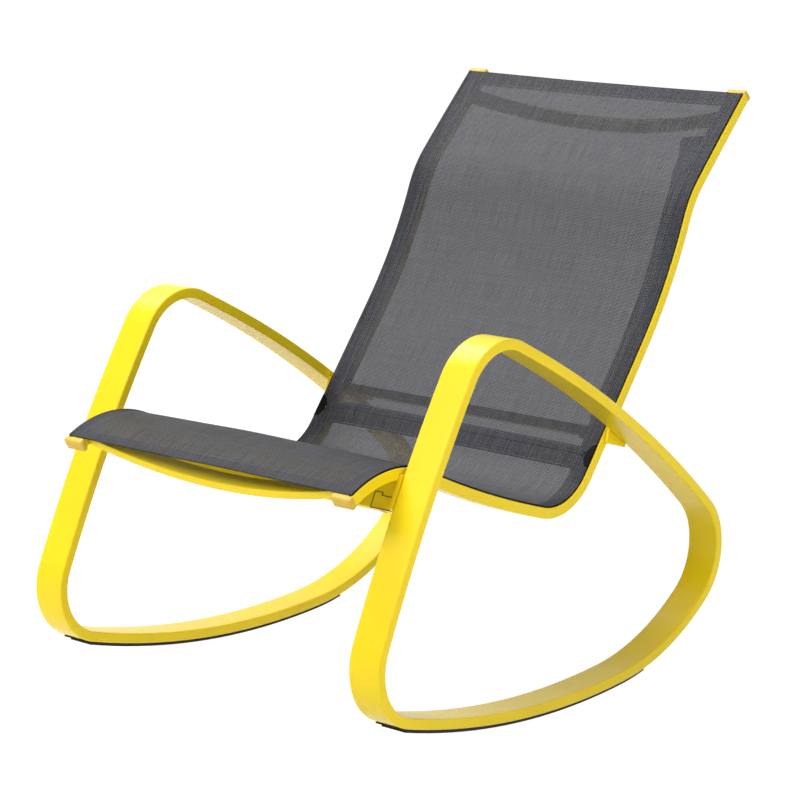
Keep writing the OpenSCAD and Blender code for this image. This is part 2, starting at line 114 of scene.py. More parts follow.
def add_node(
    tree: bpy.types.NodeTree,
    kind: str,
    settings: dict[str, object] | None = None,
    inputs: dict[str | int, object] | None = None,
) -> bpy.types.Node:
    """Adds one shader node with its settings, its input values and its links.

    Args:
        tree: the node tree that the node goes into.
        kind: the node's type name, without "ShaderNode" before it.
        settings: attributes of the node.
        inputs: what its inputs get, by name or index: a socket is linked, another value is set.

    Returns:
        The new node.
    """
    made = tree.nodes.new(f"ShaderNode{kind}")
    for name, value in (settings or {}).items():
        setattr(made, name, value)
    for key, value in (inputs or {}).items():
        if isinstance(value, bpy.types.NodeSocket):
            tree.links.new(value, made.inputs[key])
        else:
            made.inputs[key].default_value = value
    return made


def new_material(name: str) -> tuple[bpy.types.Material, bpy.types.NodeTree, bpy.types.Node]:
    """Makes a material with a bare Principled shader.

    Args:
        name: the material's name.

    Returns:
        The material, its node tree and its Principled node.
    """
    material = bpy.data.materials.new(name)
    material.use_nodes = True
    tree = material.node_tree
    return material, tree, tree.nodes["Principled BSDF"]


@dataclass(frozen=True)
class SurfaceGrain:
    """A noise pattern in the object's own coordinates.

    Args:
        size: width of one grain, mm.
        detail: octaves of finer noise.
        stretch: how much longer the grain is along X, Y and Z.
    """

    size: float
    detail: float = 2.0
    stretch: tuple[float, float, float] = (1.0, 1.0, 1.0)

    def add(self, tree: bpy.types.NodeTree) -> bpy.types.NodeSocket:
        """Adds the noise.

        Args:
            tree: the node tree.

        Returns:
            Its value, from 0 to 1.
        """
        place = add_node(tree, "TexCoord").outputs["Object"]
        scale = tuple(1 / s for s in self.stretch)
        placed = add_node(tree, "Mapping", inputs={"Scale": scale, "Vector": place}).outputs[0]
        inputs = {"Scale": 1 / (self.size * MM), "Detail": self.detail, "Vector": placed}
        return add_node(tree, "TexNoise", inputs=inputs).outputs[0]


@dataclass(frozen=True)
class CoatedSurface:
    """A plain solid finish: two close tones, a roughness range and a fine bump.

    Args:
        name: the finish, as its maker would call it.
        low: sRGB hex of the darker tone.
        high: sRGB hex of the lighter tone.
        tone: grain of the drift between the tones.
        bump: grain of the bump.
        bump_depth: height of the bump, mm.
        rough: lowest and highest roughness.
        metallic: metalness.
        specular: strength of the mirror layer.
        bump_strength: how strongly the bump shows.
    """

    name: str
    low: str
    high: str
    tone: SurfaceGrain
    bump: SurfaceGrain
    bump_depth: float
    rough: tuple[float, float]
    metallic: float = 0.0
    specular: float = 0.4
    bump_strength: float = 0.6

    def build(self) -> bpy.types.Material:
        """Builds the material.

        Returns:
            The material.
        """
        material, tree, shader = new_material(self.name)
        spread = add_node(tree, "MapRange", inputs=NOISE_RANGE | {"Value": self.tone.add(tree)})
        colour = add_node(
            tree,
            "Mix",
            {"data_type": "RGBA"},
            {MIX_FACTOR: spread.outputs[0], MIX_A: linear(self.low), MIX_B: linear(self.high)},
        )
        grain = self.bump.add(tree)
        rough = add_node(
            tree,
            "MapRange",
            inputs={"Value": grain, "To Min": self.rough[0], "To Max": self.rough[1]},
        )
        bump = add_node(
            tree,
            "Bump",
            inputs={
                "Height": grain,
                "Strength": self.bump_strength,
                "Distance": self.bump_depth * MM,
            },
        )
        tree.links.new(colour.outputs[MIX_RESULT], shader.inputs["Base Color"])
        tree.links.new(rough.outputs[0], shader.inputs["Roughness"])
        tree.links.new(bump.outputs[0], shader.inputs["Normal"])
        shader.inputs["Metallic"].default_value = self.metallic
        shader.inputs["Specular IOR Level"].default_value = self.specular
        return material


@dataclass(frozen=True)
class ToneDrift:
    """Uneven tone, as noise in the cloth's own plane.

    Args:
        across: width of one patch across the cloth, mm.
        along: its length along the cloth, mm.
        detail: octaves of finer noise.
        reach: how far it moves the tone, either way.
    """

    across: float
    along: float
    detail: float
    reach: float

    def add(self, tree: bpy.types.NodeTree, uv: bpy.types.NodeSocket) -> bpy.types.NodeSocket:
        """Adds the noise.

        Args:
            tree: the node tree.
            uv: the cloth's UV socket.

        Returns:
            How far it moves the tone.
        """
        scale = (1 / (self.across * MM), 1 / (self.along * MM), 1.0)
        placed = add_node(tree, "Mapping", inputs={"Scale": scale, "Vector": uv}).outputs[0]
        noise = add_node(
            tree,
            "TexNoise",
            {"noise_dimensions": "2D"},
            {"Scale": 1.0, "Detail": self.detail, "Vector": placed},
        ).outputs[0]
        reach = {"Value": noise, "To Min": -self.reach, "To Max": self.reach}
        return add_node(tree, "MapRange", inputs=NOISE_RANGE | reach).outputs[0]


@dataclass(frozen=True)
class SlingMeshCloth:
    """Open weave of PVC-coated polyester yarn, the usual sling cloth.

    The yarns give a fine grid of round ribs with a pinhole at each crossing, so a little of
    what lies behind shows through, and uneven yarns give long faint streaks up the cloth.
    The real yarns are about 1 mm apart. They are drawn more than twice as far apart, as coarse
    as they need to be to show in the render.

    Args:
        name: the cloth's name.
        valley: sRGB hex between the yarns.
        crown: sRGB hex on top of the yarns.
        pitch: spacing of the yarns across and along the cloth, mm.
        over: share of the crown's tone where a yarn dives under the other one and where it
            lies over it.
        streaks: streaks of single yarns.
        bands: slow bands across the cloth.
        cover: how much each face hides on a yarn and at a pinhole. Softened, so the pinholes
            don't sparkle where they are finer than the picture.
        pinhole: how near a crossing the cover starts to thin and where it is thinnest, where 0
            is the middle of a rib and 1 the middle of a pinhole.
        depth: height of the ribs, mm.
        bump_strength: how strongly the ribs show.
        rough: roughness between the yarns and on top of them.
        specular: strength of the mirror layer.
    """

    name: str
    valley: str = "#0D0E12"
    crown: str = "#3F4048"
    pitch: tuple[float, float] = (2.5, 2.2)
    over: tuple[float, float] = (0.04, 0.96)
    streaks: ToneDrift = ToneDrift(across=2.2, along=60.0, detail=2.0, reach=0.32)
    bands: ToneDrift = ToneDrift(across=110.0, along=5.0, detail=3.0, reach=0.12)
    cover: tuple[float, float] = (0.872, 0.4)
    pinhole: tuple[float, float] = (0.5, 0.9)
    depth: float = 0.25
    bump_strength: float = 0.7
    rough: tuple[float, float] = (0.62, 0.5)
    specular: float = 0.25

    def build(self) -> bpy.types.Material:
        """Builds the material, which reads the cloth's own UV map in metres.

        Returns:
            The material.
        """
        material, tree, shader = new_material(self.name)
        uv = add_node(tree, "UVMap", {"uv_map": "cloth"}).outputs[0]
        weave, corner = self.weave(tree, uv)
        height = add_node(tree, "Math", {"operation": "ABSOLUTE"}, {0: weave}).outputs[0]
        colour = add_node(
            tree,
            "Mix",
            {"data_type": "RGBA", "clamp_factor": True},
            {
                MIX_FACTOR: self.tone(tree, uv, weave),
                MIX_A: linear(self.valley),
                MIX_B: linear(self.crown),
            },
        )
        cover = add_node(
            tree,
            "MapRange",
            inputs={
                "Value": corner,
                "From Min": self.pinhole[0],
                "From Max": self.pinhole[1],
                "To Min": self.cover[0],
                "To Max": self.cover[1],
            },
        )
        bump = add_node(
            tree,
            "Bump",
            inputs={"Height": height, "Strength": self.bump_strength, "Distance": self.depth * MM},
        )
        rough = add_node(
            tree,
            "MapRange",
            inputs={"Value": height, "To Min": self.rough[0], "To Max": self.rough[1]},
        )
        tree.links.new(colour.outputs[MIX_RESULT], shader.inputs["Base Color"])
        tree.links.new(rough.outputs[0], shader.inputs["Roughness"])
        tree.links.new(bump.outputs[0], shader.inputs["Normal"])
        tree.links.new(cover.outputs[0], shader.inputs["Alpha"])
        shader.inputs["Specular IOR Level"].default_value = self.specular
        return material

    def weave(
        self, tree: bpy.types.NodeTree, uv: bpy.types.NodeSocket
    ) -> tuple[bpy.types.NodeSocket, bpy.types.NodeSocket]:
        """Adds the grid of yarns.

        Args:
            tree: the node tree.
            uv: the cloth's UV socket.

        Returns:
            The weave, from -1 where one yarn is on top to 1 where the other is, and how near the
            next pinhole is, from 0 to 1.
        """
        split = add_node(tree, "SeparateXYZ", inputs={0: uv})
        waves, gaps = [], []
        for way, pitch in enumerate(self.pitch):
            turn = {0: split.outputs[way], 1: math.pi / (pitch * MM)}
            angle = add_node(tree, "Math", {"operation": "MULTIPLY"}, turn).outputs[0]
            wave = add_node(tree, "Math", {"operation": "SINE"}, {0: angle})
            between = add_node(tree, "Math", {"operation": "COSINE"}, {0: angle}).outputs[0]
            gap = add_node(tree, "Math", {"operation": "ABSOLUTE"}, {0: between})
            waves.append(wave.outputs[0])
            gaps.append(gap.outputs[0])
        weave, corner = (
            add_node(tree, "Math", {"operation": "MULTIPLY"}, dict(enumerate(pair))).outputs[0]
            for pair in (waves, gaps)
        )
        return weave, corner

    def tone(
        self, tree: bpy.types.NodeTree, uv: bpy.types.NodeSocket, weave: bpy.types.NodeSocket
    ) -> bpy.types.NodeSocket:
        """Adds up the tone from the weave, the streaks and the bands.

        Args:
            tree: the node tree.
            uv: the cloth's UV socket.
            weave: which yarn is on top, from -1 to 1.

        Returns:
            The tone, 0 for the valley's colour and 1 for the crown's.
        """
        total = add_node(
            tree,
            "MapRange",
            inputs={
                "Value": weave,
                "From Min": -1.0,
                "To Min": self.over[0],
                "To Max": self.over[1],
            },
        ).outputs[0]
        for drift in (self.streaks, self.bands):
            terms = {0: total, 1: drift.add(tree, uv)}
            total = add_node(tree, "Math", {"operation": "ADD"}, terms).outputs[0]
        return total


class Finish(Enum):
    """The chair's finishes other than its cloth."""

    FRAME_PAINT = CoatedSurface(
        # Powder coat on steel: even, rich yellow, softly glossy, with a faint orange peel
        name="yellow_powder_coat",
        low="#E4C818",
        high="#E9CD1B",
        tone=SurfaceGrain(90.0),
        bump=SurfaceGrain(1.6, 1.0),
        bump_depth=0.012,
        rough=(0.22, 0.3),
        specular=0.2,
    )
    END_CAP = CoatedSurface(
        # Moulded polypropylene: paler and duller than the paint, with a fine spark-eroded grain
        name="moulded_cap_plastic",
        low="#C8A433",
        high="#D1AE3D",
        tone=SurfaceGrain(12.0),
        bump=SurfaceGrain(0.5, 1.0),
        bump_depth=0.02,
        rough=(0.45, 0.58),
    )
    RUBBER = CoatedSurface(
        # Moulded rubber: near black, matt, dusty in patches. The lap joints' dark lines use it as
        # painted shade.
        name="black_rubber",
        low="#121211",
        high="#23211F",
        tone=SurfaceGrain(14.0, 4.0),
        bump=SurfaceGrain(0.8, 3.0),
        bump_depth=0.06,
        rough=(0.72, 0.9),
    )
    BLACK_PLASTIC = CoatedSurface(
        # Moulded nylon: black, hardly glossy. The keder lips in it are partly painted shade under
        # the cloth's rolled edge.
        name="black_nylon",
        low="#040405",
        high="#09090B",
        tone=SurfaceGrain(6.0),
        bump=SurfaceGrain(0.6, 1.0),
        bump_depth=0.02,
        rough=(0.4, 0.52),
        specular=0.06,
    )
    STEEL = CoatedSurface(
        # Mill steel strip: grey, with drawn lines along its length
        name="drawn_steel",
        low="#8E8E90",
        high="#A3A3A6",
        tone=SurfaceGrain(1.2, 2.0, (1.0, 12.0, 12.0)),
        bump=SurfaceGrain(0.6, 2.0, (1.0, 16.0, 16.0)),
        bump_depth=0.01,
        rough=(0.32, 0.46),
        metallic=1.0,
    )
    ZINC = CoatedSurface(
        # Bright zinc plate: cool grey with a faint blotched bloom
        name="zinc_plate",
        low="#A6A8AB",
        high="#BFC1C4",
        tone=SurfaceGrain(2.5, 3.0),
        bump=SurfaceGrain(0.4, 2.0),
        bump_depth=0.008,
        rough=(0.24, 0.4),
        metallic=1.0,
    )
    THREAD = CoatedSurface(
        # Bonded polyester thread: dark grey, a little lighter than the cloth
        name="polyester_thread",
        low="#5A5B60",
        high="#74757B",
        tone=SurfaceGrain(3.0),
        bump=SurfaceGrain(0.3, 1.0),
        bump_depth=0.03,
        rough=(0.45, 0.6),
    )

    def build(self) -> bpy.types.Material:
        """Builds the finish's material and returns it."""
        return self.value.build()


def dress(names: list[str], material: bpy.types.Material) -> None:
    """Gives CAD nodes a finish in place of their plain material.

    Args:
        names: the nodes.
        material: the finish's material.
    """
    for name in names:
        slots = bpy.data.objects[name].data.materials
        slots.clear()
        slots.append(material)
        LOG.info("dressed %s in %s", name, material.name)


def face_outwards(bm: bmesh.types.BMesh) -> None:
    """Turns every face outwards, from normals worked out anew after the vertices moved.

    Args:
        bm: a closed mesh.
    """
    bmesh.ops.dissolve_degenerate(bm, dist=NO_LENGTH, edges=bm.edges[:])
    bm.normal_update()
    bmesh.ops.recalc_face_normals(bm, faces=bm.faces[:])


def finish_piece(
    name: str, bm: bmesh.types.BMesh, material: bpy.types.Material
) -> bpy.types.Object:
    """Turns a bmesh into a smooth piece that rides on the chair.

    Args:
        name: the piece's name.
        bm: its mesh, which is freed.
        material: its material.

    Returns:
        The piece's object.
    """
    mesh = bpy.data.meshes.new(name)
    bm.to_mesh(mesh)
    bm.free()
    for face in mesh.polygons:
        face.use_smooth = True
    mesh.materials.append(material)
    obj = bpy.data.objects.new(name, mesh)
    bpy.context.scene.collection.objects.link(obj)
    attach(obj, BODY)
    LOG.info("built %s with %d faces", name, len(mesh.polygons))
    return obj


def round_edges(
    bm: bmesh.types.BMesh, edges: list[bmesh.types.BMEdge], radius: float, segments: int
) -> None:
    """Rounds edges of a mesh.

    Args:
        bm: the mesh.
        edges: the edges.
        radius: how far the rounding reaches, in the mesh's units.
        segments: steps of the rounding.
    """
    bmesh.ops.bevel(
        bm,
        geom=edges,
        offset=radius,
        segments=segments,
        profile=0.5,
        affect="EDGES",
        material=-1,
    )


def rounded_box(
    half_a: float, half_b: float, radius: float, steps: int = 3
) -> list[tuple[float, float]]:
    """Lays out a rectangle with round corners.

    Args:
        half_a: half of its first side, mm.
        half_b: half of its second side, mm.
        radius: corner radius, mm.
        steps: steps round a corner.

    Returns:
        Its points in order, mm, the first one repeated at the end.
    """
    out = []
    for quarter, (a, b) in enumerate(((1, 1), (-1, 1), (-1, -1), (1, -1))):
        for step in range(steps + 1):
            turn = math.radians(90 * quarter + 90 / steps * step)
            out.append(
                (
                    a * (half_a - radius) + radius * math.cos(turn),
                    b * (half_b - radius) + radius * math.sin(turn),
                )
            )
    return [*out, out[0]]


def swept(points: Callable[[int, int], Vector], around: int, along: int) -> bmesh.types.BMesh:
    """Builds a closed bar from a grid that is wrapped round its section.

    Args:
        points: gives the place of a vertex from its step round the section and along the bar.
        around: steps round the section.
        along: steps along the bar.

    Returns:
        The bar's mesh, with both ends filled.
    """
    bm = bmesh.new()
    bmesh.ops.create_grid(bm, x_segments=around, y_segments=along, size=0.5)
    for vert in bm.verts:
        vert.co = points(round((vert.co.x + 0.5) * around), round((vert.co.y + 0.5) * along))
    bmesh.ops.remove_doubles(bm, verts=bm.verts, dist=SAME_PLACE)
    bmesh.ops.holes_fill(bm, edges=bm.edges, sides=0)
    face_outwards(bm)
    return bm


def smooth_table(table: tuple[tuple[float, float], ...], at: float) -> float:
    """Reads a table with smooth steps between its rows.

    Args:
        table: rows of place and value, by rising place.
        at: the place to read it at.

    Returns:
        The value there, which is the first or the last one beyond the table's ends.
    """
    if at <= table[0][0]:
        return table[0][1]
    for (a, va), (b, vb) in zip(table, table[1:]):
        if at <= b:
            t = (at - a) / (b - a)
            return va + (vb - va) * t * t * (3 - 2 * t)
    return table[-1][1]


@dataclass(frozen=True)
class RestAttitude:
    """How the chair stands: rolled on its rockers and centred on the floor.

    Args:
        roll: forward roll, degrees.
        centre_z: height of the rocker circle's centre, mm.
        mid_y: shift that centres the chair's length, mm.
    """

    roll: float = 0.803
    centre_z: float = 1415.5
    mid_y: float = 26.77

    def point(self, x: float, y: float, z: float) -> Vector:
        """Stands a point of the upright chair on the floor.

        Args:
            x: to the sitter's left, mm.
            y: rearward, mm.
            z: up, mm.

        Returns:
            The point in the row frame, m.
        """
        turn = math.radians(self.roll)
        up = z - self.centre_z
        placed = Vector(
            (
                x,
                y * math.cos(turn) - up * math.sin(turn) - self.mid_y,
                y * math.sin(turn) + up * math.cos(turn) + self.centre_z,
            )
        )
        return placed * MM


@dataclass(frozen=True)
class RailLine:
    """Top face of the sling rails, from the front end to the head.

    Args:
        start: rearward, up and slope of the front end, mm and degrees.
        stretches: radius (0 for straight), turn in degrees or length in mm.
        splice: length from the front end to the joint of the two halves, mm.
        stand: how the chair stands.
    """

    start: tuple[float, float, float] = (-432.645, 359.646, 31.28)
    stretches: tuple[tuple[float, float], ...] = (
        (-171.6, -55.05),
        (1953.0, 8.14),
        (90.0, 68.74),
        (0.0, 212.7),
        (707.0, 16.04),
        (-161.0, -22.29),
        (-8100.0, -1.15),
    )
    splice: float = 576.85
    stand: RestAttitude = RestAttitude()

    @property
    def length(self) -> float:
        """Whole length of the rail's top face, mm."""
        return sum(self.stretch_length(r, t) for r, t in self.stretches)

    @staticmethod
    def stretch_length(radius: float, turn: float) -> float:
        """Length of one stretch, mm."""
        return turn if radius == 0 else abs(radius * math.radians(turn))

    def pose(self, s: float) -> tuple[float, float, float]:
        """Finds the pose at a length along the rail.

        Args:
            s: length from the front end, mm.

        Returns:
            Rearward and up, mm, and the slope, radians, of the upright chair.
        """
        y, z, angle = self.start[0], self.start[1], math.radians(self.start[2])
        for index, (radius, turn) in enumerate(self.stretches):
            length = self.stretch_length(radius, turn)
            last = index == len(self.stretches) - 1
            step = s if last else min(s, length)
            if radius == 0:
                y, z = y + step * math.cos(angle), z + step * math.sin(angle)
            else:
                after = angle + step / radius
                y += radius * (math.sin(after) - math.sin(angle))
                z += radius * (math.cos(angle) - math.cos(after))
                angle = after
            s -= step
            if s <= 0:
                break
        return y, z, angle

    def point(self, x: float, s: float, up: float) -> Vector:
        """Places a point over the rail's top face.

        Args:
            x: distance across the chair, mm.
            s: length along the rail, mm.
            up: height over the top face, mm.

        Returns:
            The point in the row frame, m.
        """
        y, z, angle = self.pose(s)
        return self.stand.point(x, y - up * math.sin(angle), z + up * math.cos(angle))


RAIL = RailLine()


@dataclass(frozen=True)
class ClothCrown:
    """How the stretched cloth's middle stands over, or sags under, the line between the rails.

    Args:
        heights: length along the rail and the middle's height there, mm.
        half_span: distance from the middle at which the cloth meets the line, mm.
        ripple: height of the faint waves in the cloth, mm.
        slant: how far across and along the slanting waves take one radian, mm.
        along: how far along the cross waves take one radian, mm.
        phase: shift of the cross waves, radians.
    """

    heights: tuple[tuple[float, float], ...] = (
        (0.0, 0.5),
        (60.0, 1.5),
        (165.0, 3.0),
        (300.0, 0.0),
        (440.0, 2.5),
        (500.0, 6.0),
        (550.0, 4.5),
        (640.0, 1.0),
        (760.0, -2.0),
        (860.0, -3.5),
        (960.0, -3.0),
        (1010.0, -2.0),
        (1100.0, -1.0),
        (1186.0, -2.5),
    )
    half_span: float = 226.0
    ripple: float = 0.35
    slant: tuple[float, float] = (31.0, 47.0)
    along: float = 23.0
    phase: float = 1.3

    def height(self, x: float, s: float) -> float:
        """Reads the cloth's height.

        Args:
            x: distance from the middle, mm.
            s: length along the rail, mm.

        Returns:
            Height over the line between the rails, mm.
        """
        across = max(0.0, 1 - (x / self.half_span) ** 2)
        slanting = math.sin(x / self.slant[0] + s / self.slant[1])
        wave = self.ripple * slanting * math.sin(s / self.along + self.phase)
        return (smooth_table(self.heights, s) + wave) * across


@dataclass(frozen=True)
class EdgeWrap:
    """Way of a cloth's edge over the groove, round the keder rod and back under the cloth.

    Args:
        groove_x: distance of the grooves from the middle, mm.
        down: the way over the groove's outer edge and down its slot, as distance out from the
            groove and height over the rail, mm.
        rod_r: radius of the wrap round the keder rod, mm.
        rod_depth: depth of the rod's middle under the rail's top face, mm.
        wrap: where the wrap starts, how far it turns, degrees, and its steps.
        up: the way back up the slot, as for down.
        flap_in: where the folded layer lies flat, inwards from the groove, mm.
        flap_steps: steps across the folded layer.
    """

    groove_x: float = 251.5
    down: tuple[tuple[float, float], ...] = (
        (-2.6, 1.35),
        (-1.0, 1.95),
        (0.8, 2.5),
        (2.1, 2.5),
        (2.8, 2.15),
        (2.5, 1.8),
        (0.9, 1.55),
        (0.38, 0.9),
        (0.38, -1.6),
    )
    rod_r: float = 2.58
    rod_depth: float = 4.8
    wrap: tuple[float, float, int] = (82.0, 344.0, 12)
    up: tuple[tuple[float, float], ...] = ((-0.38, -1.6), (-0.38, -0.2), (-0.7, 0.3))
    flap_in: float = 1.6
    flap_steps: int = 5

    def rows(self, flap: float, under: float) -> list[tuple[float, float]]:
        """Lays out the way of the edge.

        Args:
            flap: width of the folded layer, mm.
            under: height of the folded layer over the rail, mm.

        Returns:
            Rows of distance from the middle and height over the rail, mm.
        """
        start, turned, steps = self.wrap
        rows = [(self.groove_x + a, n) for a, n in self.down]
        for i in range(steps + 1):
            angle = math.radians(start - i * turned / steps)
            a, n = self.rod_r * math.cos(angle), self.rod_r * math.sin(angle)
            rows.append((self.groove_x + a, n - self.rod_depth))
        rows += [(self.groove_x + a, n) for a, n in self.up]
        flat, first = flap - self.flap_in, self.groove_x - self.flap_in
        rows += [(first - flat * i / self.flap_steps, under) for i in range(self.flap_steps + 1)]
        return rows


@dataclass(frozen=True)
class KederLipAndShade:
    """Black bead along a cloth's edge: the keder rod's lip, over the outer edge of the groove. Its
    black is partly painted shade under the cloth's rolled edge.

    Args:
        out: distance from the groove's middle to the lip, mm.
        width: its width, mm.
        height: its height, mm.
        edge: radius of its edges, mm.
        lift: gap between the rail and the lip, mm.
        plug_gap: gap between the lip and a splice plug, mm.
        end_gap: how far it stops short of the cloth's other end, mm.
        step: length of one step along it, mm.
    """

    out: float = 0.85
    width: float = 2.3
    height: float = 1.5
    edge: float = 0.7
    lift: float = 0.1
    plug_gap: float = 0.5
    end_gap: float = 1.0
    step: float = 6.0


@dataclass(frozen=True)
class Stitching:
    """Rows of thread beads that sew the hems.

    Args:
        pitch: length from one stitch to the next, mm.
        bead: half of a stitch's length, width and height, mm.
        side_rows: distance of the rows along the sides from the middle, mm.
        side_gap: how far those rows stop short of the cloth's ends, mm.
        end_reach: half of the length of the rows across the ends, mm.
        hem_gap: distance of those rows from the hem's inner edge, mm.
    """

    pitch: float = 4.2
    bead: tuple[float, float, float] = (1.6, 0.34, 0.28)
    side_rows: tuple[float, ...] = (-233.5, -230.0, 230.0, 233.5)
    side_gap: float = 25.0
    end_reach: float = 224.0
    hem_gap: float = 3.0


@dataclass(frozen=True)
class Sling:
    """One stretched cloth: its edges wrap the keder rods in the rails' grooves.

    Args:
        name: the piece's name.
        node: the CAD node that it stands for.
        start: where the cloth begins along the rail, mm.
        end: where it ends, mm.
        hems: width of the folded hem at its start and end, mm.
        plug_at: the end that the splice plugs are let into.
        cloth_t: thickness of the cloth, mm.
        top: height of the cloth's middle layer over the rail, mm.
        under: height of the folded layers over the rail, mm.
        flap: width of the edge hem, mm.
        wide_flap: length along the rail and the edge hem's width there at the sitter's left, where
            it widens towards the head bar and narrows again just below it, mm.
        columns: steps of the cloth from the middle to the groove.
        flat_share: share of the way to the groove that these steps cover.
        row_step: length of one step along the cloth, mm.
        end_rows: extra rows near each end, mm from it.
        hem_start: how far inside the cloth's end the hem starts to fold, mm.
        hem_steps: steps across the chair, round the fold and along the hem.
        hem_shift: shift of the hem's weave against the cloth's, mm.
        plug_half: how far the cloth is cut back for a plug, mm.
        plug_in: how far the cut goes inwards from the groove, mm.
        plug_round: width of the cut's rounded corner, mm.
        plug_pull: length of cloth that is drawn together behind the cut, mm.
        crown: its height between the rails.
        wrap: the way of its edges.
        lip: the black beads along its edges, partly painted shade under the rolled edge.
        stitching: its stitches.
    """

    name: str
    node: str
    start: float
    end: float
    hems: tuple[float, float]
    plug_at: ClothEnd
    cloth_t: float = 0.3
    top: float = 1.15
    under: float = 0.42
    flap: float = 24.0
    wide_flap: tuple[tuple[float, float], ...] = (
        (600.0, 24.0),
        (680.0, 31.5),
        (985.0, 35.0),
        (1051.0, 47.0),
        (1092.0, 59.0),
        (1096.0, 59.0),
        (1099.0, 24.0),
    )
    columns: int = 22
    flat_share: float = 0.985
    row_step: float = 6.0
    end_rows: tuple[float, ...] = (1.5, 3.0)
    hem_start: float = 0.01
    hem_steps: tuple[int, int, int] = (44, 8, 6)
    hem_shift: tuple[float, float] = (0.6, 0.9)
    plug_half: float = 17.4
    plug_in: float = 6.6
    plug_round: float = 6.0
    plug_pull: float = 60.0
    crown: ClothCrown = ClothCrown()
    wrap: EdgeWrap = EdgeWrap()
    lip: KederLipAndShade = KederLipAndShade()
    stitching: Stitching = Stitching()

    def place_of(self, end: ClothEnd) -> float:
        """Place of one end along the rail, mm."""
        return self.start if end is ClothEnd.START else self.end

    def section(self) -> list[tuple[float, float, float]]:
        """Lays out half of the cloth's section, from the middle to the flap's edge.

        Returns:
            Rows of distance across, height over the rail and cloth length from the middle, mm.
        """
        span, share = self.wrap.groove_x, self.flat_share
        rows = [(span * i / self.columns * share, self.top) for i in range(self.columns + 1)]
        rows += self.wrap.rows(self.flap, self.under)
        out, run = [], 0.0
        for i, (x, n) in enumerate(rows):
            if i:
                run += math.hypot(x - rows[i - 1][0], n - rows[i - 1][1])
            out.append((x, n, run))
        return out

    def stations(self) -> list[float]:
        """Lists the places along the rail with a row of vertices, closer together at the ends.

        Returns:
            The places in order, mm.
        """
        count = round((self.end - self.start) / self.row_step)
        rows = [self.start + (self.end - self.start) * i / count for i in range(count + 1)]
        rows += [self.start + n for n in self.end_rows]
        return sorted(rows + [self.end - n for n in self.end_rows])

    def plug_cut(self, x: float, s: float) -> float:
        """Pulls the cloth's end back round a plug.

        Args:
            x: distance from the middle, mm.
            s: length along the rail, mm.

        Returns:
            The place along the rail where the cloth goes instead, mm.
        """
        edge = self.place_of(self.plug_at)
        inner = self.wrap.groove_x - self.plug_in
        reach = abs(s - edge)
        if x <= inner or reach >= self.plug_pull:
            return s
        depth = self.plug_half * min(1.0, math.sqrt((x - inner) / self.plug_round))
        return edge + self.plug_at.value * (depth + reach * (1 - depth / self.plug_pull))

    def make_cloth(self, material: bpy.types.Material) -> bpy.types.Object:
        """Builds the cloth between and round the grooves.

        Args:
            material: the cloth.

        Returns:
            The cloth's piece.
        """
        half = self.section()
        rows = [(-x, n, -u) for x, n, u in reversed(half[1:])] + half
        stations = self.stations()

        def place(a: float, b: float) -> tuple[float, float, Vector]:
            """Places one vertex on the flat cloth and on the chair.

            Args:
                a: its place across the grid, from -0.5 to 0.5.
                b: its place along the grid, from -0.5 to 0.5.

            Returns:
                Its place across and along the flat cloth, mm, and its point, m.
            """
            x, n, u = rows[round((a + 0.5) * (len(rows) - 1))]
            s = stations[round((b + 0.5) * (len(stations) - 1))]
            if n == self.under and x > 0:
                extra = smooth_table(self.wide_flap, s) - self.flap
                wider = extra * (self.wrap.groove_x - x) / self.flap
                x, u = x - wider, u + wider
            s = self.plug_cut(abs(x), s)
            lift = self.crown.height(x, s) if n in (self.top, self.under) else 0.0
            return u, s, RAIL.point(x, s, n + lift)

        obj = self.lay(self.name, len(rows) - 1, len(stations) - 1, place, material)
        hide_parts(self.node)
        return obj

    def make_hem(self, end: ClothEnd, material: bpy.types.Material) -> bpy.types.Object:
        """Builds the folded hem at one end of the cloth.

        Args:
            end: the end.
            material: the cloth.

        Returns:
            The hem's piece.
        """
        edge, inward = self.place_of(end), end.value
        width = self.hems[0] if end is ClothEnd.START else self.hems[1]
        columns, fold_steps, hem_steps = self.hem_steps
        fold = (self.top - self.under) / 2
        rows = [(edge + inward * self.hem_start, self.top)]
        for i in range(1, fold_steps):
            a = math.pi * i / fold_steps
            height = self.under + fold + fold * math.cos(a)
            rows.append((edge - inward * fold * math.sin(a), height))
        rows += [(edge + inward * width * i / hem_steps, self.under) for i in range(hem_steps + 1)]
        half_x = self.wrap.groove_x - self.flap

        def place(a: float, b: float) -> tuple[float, float, Vector]:
            """Places one vertex on the flat cloth and on the chair.

            Args:
                a: its place across the grid, from -0.5 to 0.5.
                b: its place along the grid, from -0.5 to 0.5.

            Returns:
                Its place across and along the flat cloth, mm, and its point, m.
            """
            x = 2 * a * half_x
            s, n = rows[round((b + 0.5) * (len(rows) - 1))]
            point = RAIL.point(x, s, n + self.crown.height(x, s))
            return x + self.hem_shift[0], s + self.hem_shift[1], point

        name = f"{self.name}_{end.name.lower()}_hem"
        return self.lay(name, columns, len(rows) - 1, place, material)

